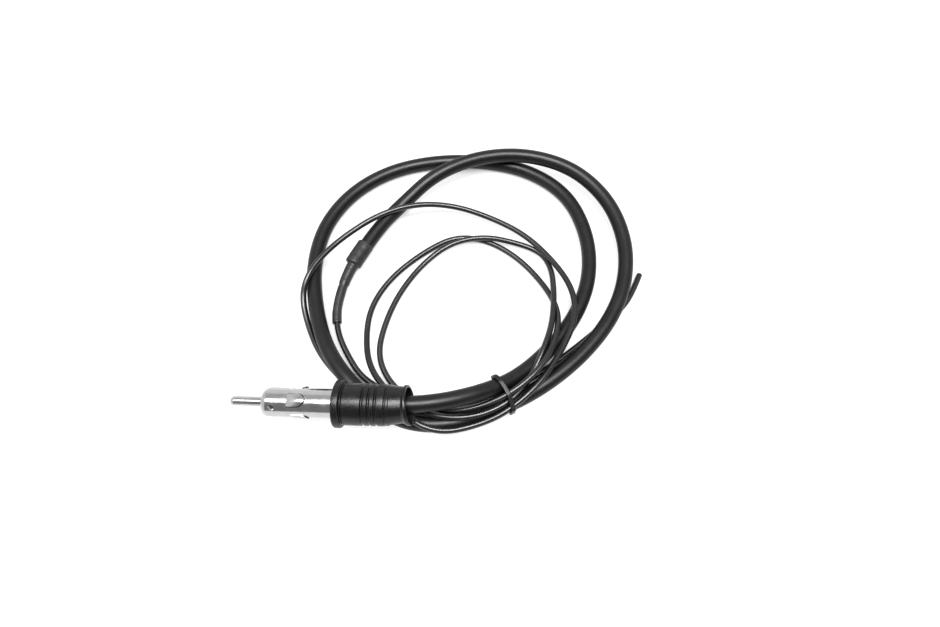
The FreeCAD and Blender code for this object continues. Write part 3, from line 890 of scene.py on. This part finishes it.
@dataclass
class Boot:
    """Moulded rubber boot: flange, grooved body, collar, tapered tail and a slack open lip."""

    finish: Finish
    front: float = 22.5
    flange_length: float = 2.3
    flange_radius: float = 7.4
    undercut: float = 0.3
    radius: float = 6.5
    body_end: float = 38.2
    groove_first: float = 31.5
    groove_pitch: float = 2.0
    groove_count: int = 3
    groove_width: float = 0.9
    groove_depth: float = 0.42
    collar_start: float = 38.6
    collar_end: float = 39.4
    collar_radius: float = 6.35
    tail_front_radius: float = 6.15
    tail_radius: float = 5.55
    tail_end: float = 43.6
    tail_sway: float = 0.3
    lip_radius: float = 6.15
    lip_near_flare: float = 0.3
    end: float = 45.55
    rim_top_slant: float = 1.0
    rim_far_slant: float = 0.55
    mouth_radius: float = 5.2
    mouth_depth: float = 10.5
    barrel_fit: float = 4.6
    barrel_end: float = 28.0
    cable_fit: float = 2.9
    rim_reach: float = 1.5
    ripple_height: float = 0.035
    ripple_scale: float = 0.55
    crisp_degrees: float = 50.0
    segments: int = 144

    def corners(self) -> list[Triple]:
        """Corners of the boot's half section, each with its rounding."""
        flange_end = self.front + self.flange_length
        floor = self.radius - self.groove_depth
        corners = [
            (self.front, self.barrel_fit, 0.15), (self.front, self.flange_radius, 0.55),
            (flange_end, self.flange_radius, 0.5), (flange_end + 0.05, self.radius - self.undercut, 0.15),
            (flange_end + 0.45, self.radius - self.undercut, 0.2), (flange_end + 0.75, self.radius, 0.25),
        ]
        for groove in range(self.groove_count):
            middle = self.groove_first + self.groove_pitch * groove
            half = self.groove_width / 2
            corners += [
                (middle - half, self.radius, 0.28), (middle - half * 0.35, floor, 0.16),
                (middle + half * 0.35, floor, 0.16), (middle + half, self.radius, 0.28),
            ]
        corners += [
            (self.body_end, self.radius - 0.03, 0.45), (self.body_end + 0.05, floor, 0.12),
            (self.collar_start - 0.05, floor, 0.12), (self.collar_start, self.collar_radius, 0.3),
            (self.collar_end, self.collar_radius, 0.25),
            (self.collar_end + 0.12, self.tail_front_radius, 0.12),
            (self.tail_end, self.tail_radius, 1.2), (self.tail_end + 0.9, self.lip_radius, 0.7),
            (self.end, self.lip_radius - 0.05, 0.35), (self.end, self.mouth_radius, 0.35),
            (self.end - self.mouth_depth, self.mouth_radius, 1.0),
            (self.end - self.mouth_depth - 2.0, self.cable_fit, 0.3),
            (self.barrel_end, self.cable_fit, 0.1), (self.barrel_end, self.barrel_fit, 0.1),
        ]
        return corners

    def slack(self, spot: Vector) -> Vector:
        """Sway of the soft tail, and its rim cut back at the top and on the far side.

        Args:
            spot: Point of the boot in millimetres.

        Returns:
            The moved point.
        """
        radius = math.hypot(spot.y, spot.z)
        far, top = spot.y / radius, spot.z / radius
        rim = smooth_step(spot.x, self.tail_end - self.rim_reach, self.end)
        flare = self.lip_near_flare * max(-far, 0.0) * rim
        slant = self.rim_top_slant * top + self.rim_far_slant * far
        sway = self.tail_sway * smooth_step(spot.x, self.body_end, self.tail_end)
        return spot + Vector((-slant * rim, flare * far + sway, flare * top))

    def build(self) -> Piece:
        """Turn the boot, slacken its lip and dress it.

        Returns:
            The dressed object.
        """
        outline = rounded_outline(self.corners(), closed=True, steps=6)
        work = lathe(outline, True, self.segments)
        for vertex in work.verts:
            spot = self.slack(vertex.co / MM)
            ripple = noise.noise(spot * self.ripple_scale) * self.ripple_height
            outward = Vector((0.0, spot.y, spot.z)).normalized()
            vertex.co = (spot + outward * ripple) * MM
        boot = mesh_piece("rubber_boot", work, self.crisp_degrees)
        return dress(boot, self.finish, Slot.BOOT_RUBBER, "boot")


@dataclass
class CoaxLead:
    """Coaxial lead from the plug round both turns into the sleeve."""

    finish: Finish
    diameter: float = 5.4
    length: float = 615.0
    mouth: Triple = (45.6, 0.3, 0.0)
    roundness: int = 10

    def build(self) -> Piece:
        """Lay the lead and dress it.

        Returns:
            The dressed object.
        """
        lead = laid_cord("coax_lead", LEAD_ROUTE, self.diameter, self.roundness)
        dress(lead, self.finish, Slot.CABLE_JACKET, "coax_cable")
        return lead


@dataclass
class RadiatorWire:
    """Thin radiator wire from the splice through three loops to its bare cut end."""

    finish: Finish
    tip: Sequence[Piece]
    diameter: float = 2.1
    length: float = 882.6
    sleeve_end: Triple = (15.4, 32.1, 1.95)
    roundness: int = 6

    def build(self) -> Piece:
        """Lay the wire and dress it.

        Returns:
            The dressed object.
        """
        wire = laid_cord("thin_wire", WIRE_ROUTE, self.diameter, self.roundness)
        dress(wire, self.finish, Slot.WIRE_JACKET, "radiator_wire")
        return wire


@dataclass
class WireTip:
    """Cut end of the radiator wire: the jacket's rounded edge and the copper strands inside it."""

    vinyl: Finish
    copper: Finish
    radius: float = 1.05
    length: float = 0.3
    rounding: float = 0.28
    core_radius: float = 0.5
    recess: float = 0.12
    strand_count: int = 7
    segments: int = 32

    def to_wire_end(self) -> Matrix:
        """Placement that stands the plug's axis in line with the wire's last run."""
        before, end = in_row_frame(WIRE_ROUTE[-2:])
        turn = Vector((1.0, 0.0, 0.0)).rotation_difference(end - before)
        return Matrix.Translation(end) @ turn.to_matrix().to_4x4()

    def build(self) -> list[Piece]:
        """Make the jacket's end and the strands, and dress them.

        Returns:
            The dressed objects.
        """
        floor = self.length - self.recess
        outline = rounded_outline([
            (-self.length, self.radius, 0.0), (self.length, self.radius, self.rounding),
            (self.length, self.core_radius, 0.05), (floor, self.core_radius, 0.0), (floor, 0.0, 0.0),
        ], closed=False, steps=6)
        jacket = lathe(outline, False, self.segments)
        strand_radius = self.core_radius / 3
        strands = bmesh.new()
        for strand in range(self.strand_count):
            angle = 2 * math.pi * strand / (self.strand_count - 1)
            arm = 2 * strand_radius if strand < self.strand_count - 1 else 0.0
            place = Vector((floor, arm * math.cos(angle), arm * math.sin(angle))) * MM
            bmesh.ops.create_uvsphere(strands, u_segments=12, v_segments=8, radius=strand_radius * MM,
                                      matrix=Matrix.Translation(place))
        pieces = []
        for name, work, material, slot in (
            ("wire_tip", jacket, self.vinyl, Slot.WIRE_JACKET),
            ("wire_strands", strands, self.copper, Slot.COPPER),
        ):
            bmesh.ops.transform(work, matrix=self.to_wire_end(), verts=work.verts)
            pieces.append(dress(mesh_piece(name, work), material, slot))
        return pieces


@dataclass
class ShrinkSleeve:
    """Shrunk tubing over the splice: a wide stretch on the lead, a shoulder and a tail on the wire."""

    finish: Finish
    radius: float = 3.1
    grip: float = 7.3
    overhang: float = 2.15
    shoulder: float = 0.9
    neck_length: float = 8.6
    neck_radius: float = 2.14
    knee: float = 1.3
    knee_radius: float = 1.92
    tail_radius: float = 1.68
    mouth_radius: float = 1.64
    wide_shift: float = 0.35
    neck_shift: float = 0.15
    lead_fit: float = 2.72
    wire_fit: float = 1.18
    lip: float = 1.2
    wide_edge: float = 0.12
    mouth_edge: float = 0.06
    wide_fold: float = 0.07
    neck_fold: float = 0.05
    neck_turn: float = 0.6
    lump_height: float = 0.06
    lump_scale: float = 0.45
    pebble_height: float = 0.03
    pebble_scale: float = 1.3
    crisp_degrees: float = 40.0
    sides: int = 48
    step: float = 0.25

    def middle_line(self) -> list[Vector]:
        """Points along the sleeve's middle, from the end on the lead to the end on the wire."""
        lead = line_points(LEAD_ROUTE)
        wire = line_points(WIRE_ROUTE)
        start = len(lead) - 1
        covered = 0.0
        while covered < self.grip:
            covered += (lead[start] - lead[start - 1]).length
            start -= 1
        first, second = in_row_frame(WIRE_ROUTE[3:5])
        goal = (first + second) / (2 * MM)
        stop = min(range(len(wire) // 8), key=lambda index: (wire[index] - goal).length)
        return evenly_spaced(lead[start:] + wire[:stop + 1], self.step)

    def skin(self, along: float, whole: float) -> Pair:
        """Radius of the sleeve's skin, and its shift towards the outside of the coil.

        Args:
            along: Distance from its end on the lead.
            whole: Length of the sleeve.

        Returns:
            The radius and the shift there.
        """
        shoulder = self.grip + self.overhang
        knee = shoulder + self.neck_length
        neck = self.neck_radius + (self.knee_radius - self.neck_radius) * smooth_step(along, shoulder, knee)
        tail = self.tail_radius + (self.mouth_radius - self.tail_radius) * smooth_step(along, knee, whole)
        drop = smooth_step(along, shoulder - self.shoulder / 2, shoulder + self.shoulder / 2)
        bend = smooth_step(along, knee - self.knee / 2, knee + self.knee / 2)
        narrow = neck + (tail - neck) * bend
        shift = self.wide_shift + (self.neck_shift - self.wide_shift) * drop
        radius = self.radius + (narrow - self.radius) * drop
        return radius, shift * (1.0 - smooth_step(along, shoulder, knee))

    def build(self) -> Piece:
        """Skin the sleeve round its middle line and dress it.

        Returns:
            The dressed object.
        """
        line = self.middle_line()
        whole = self.step * (len(line) - 1)
        work = bmesh.new()
        rings = []

        def ring(index: int, radius: float, shift: float = 0.0, shaped: bool = False) -> None:
            """Add one ring of the skin.

            Args:
                index: Place on the middle line.
                radius: Mean radius.
                shift: How far the ring stands towards the outside of the coil.
                shaped: Whether the ring carries the skin's creases.
            """
            ahead = line[min(index + 1, len(line) - 1)] - line[max(index - 1, 0)]
            side = ahead.cross(Vector((0.0, 0.0, 1.0))).normalized()
            above = side.cross(ahead).normalized()
            spots = []
            for number in range(self.sides):
                angle = 2 * math.pi * number / self.sides
                arm = side * math.cos(angle) + above * math.sin(angle)
                reach = radius
                if shaped:
                    reach += self.crease(index * self.step, angle, line[index] + arm * radius)
                spots.append(work.verts.new((line[index] + side * shift + arm * reach) * MM))
            rings.append(spots)

        last = len(line) - 1
        depth = round(self.lip / self.step)
        ring(depth, self.lead_fit)
        ring(0, self.lead_fit)
        ring(0, self.radius - self.wide_edge, self.wide_shift, True)
        for index in range(1, last):
            ring(index, *self.skin(index * self.step, whole), True)
        ring(last, self.mouth_radius - self.mouth_edge, 0.0, True)
        ring(last, self.wire_fit)
        ring(last - depth, self.wire_fit)
        for before, after in zip(rings, rings[1:]):
            bridge(work, before, after, True)
        sleeve = mesh_piece("splice_sleeve", work, self.crisp_degrees)
        return dress(sleeve, self.finish, Slot.SLEEVE, "shrink_sleeve")

    def crease(self, along: float, angle: float, spot: Vector) -> float:
        """Unevenness of the shrunk skin.

        Args:
            along: Distance from the end on the lead.
            angle: Place round the sleeve.
            spot: The point itself.

        Returns:
            How far the skin stands out there.
        """
        shoulder = self.grip + self.overhang
        wide = 1.0 - smooth_step(along, shoulder - 1.0, shoulder + 1.0)
        folds = self.wide_fold * math.cos(2.0 * angle) * wide
        folds += self.neck_fold * math.cos(3.0 * angle + self.neck_turn) * (1.0 - wide)
        lumps = self.lump_height * noise.noise(spot * self.lump_scale)
        return folds + lumps + self.pebble_height * noise.noise(spot * self.pebble_scale)


@dataclass
class TwistTie:
    """Plastic-coated tie round the bundle, with soft edges and a bow along the strands."""

    finish: Finish
    place: Triple = (76.0, 5.5, 0.0)
    along: Triple = (0.89, 0.45, 0.0)
    half_span: float = 6.5
    bow: float = 0.8
    slip: float = 0.6
    tuck: float = 0.45
    grain: float = 0.11
    softening: int = 12
    crisp_degrees: float = 60.0

    def build(self) -> Piece:
        """Bow the tie, soften its edges and dress it.

        Returns:
            The dressed object.
        """
        work = bmesh.new()
        work.from_mesh(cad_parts["twist_tie"].data)
        tie = mesh_piece("bundle_tie", work)
        blocks = tie.modifiers.new("blocks", "REMESH")
        blocks.mode = "VOXEL"
        blocks.voxel_size = self.grain * MM
        soft = tie.modifiers.new("soft_edges", "SMOOTH")
        soft.iterations = self.softening
        apply_modifiers(tie, self.crisp_degrees)
        along = Vector(self.along).normalized()
        across = Vector((0.0, 0.0, 1.0)).cross(along)
        spans = [(vertex.co / MM - Vector(self.place)).dot(across) for vertex in tie.data.vertices]
        nearest = self.tuck + min(spans)
        for vertex, span in zip(tie.data.vertices, spans):
            vertex.co += across * (max(nearest - span, 0.0) * MM)
            share = span / self.half_span
            vertex.co += along * ((self.bow * (1.0 - share * share) - self.slip) * MM)
        return dress(tie, self.finish, Slot.TIE, "twist_tie")


@dataclass
class InnerPieces:
    """Pieces inside the plug and the sleeve, which keep their solids and get a finish."""

    plate: Finish
    copper: Finish

    def build(self) -> None:
        """Dress the inner pieces."""
        solder = DULL_SOLDER.material()
        finishes = {
            "insulator_bush": DARK_BUSH.material(), "cable_dielectric": PALE_CORE.material(),
            "cable_braid": self.copper, "cable_conductor": self.copper, "contact_solder": solder,
            "splice_solder": solder, "crimp_ferrule": self.plate,
        }
        for name, finish in finishes.items():
            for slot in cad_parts[name].material_slots:
                slot.material = finish
            LOG.info("%s keeps its solid", name)


def main() -> None:
    """Build the studio and every piece of the antenna in order."""
    logging.basicConfig(level=logging.INFO, format="%(name)s: %(message)s")
    Studio().build()
    vinyl, copper, plate = WIRE_VINYL.material(), BARE_COPPER.material(), NICKEL.material()
    CoaxLead(LEAD_VINYL.material()).build()
    RadiatorWire(vinyl, WireTip(vinyl, copper).build()).build()
    ContactPin(plate).build()
    Barrel(plate).build()
    Boot(BOOT_RUBBER.material()).build()
    ShrinkSleeve(SHRUNK_TUBE.material()).build()
    TwistTie(TIE_COATING.material()).build()
    InnerPieces(plate, copper).build()


if __name__ == "__main__":
    main()
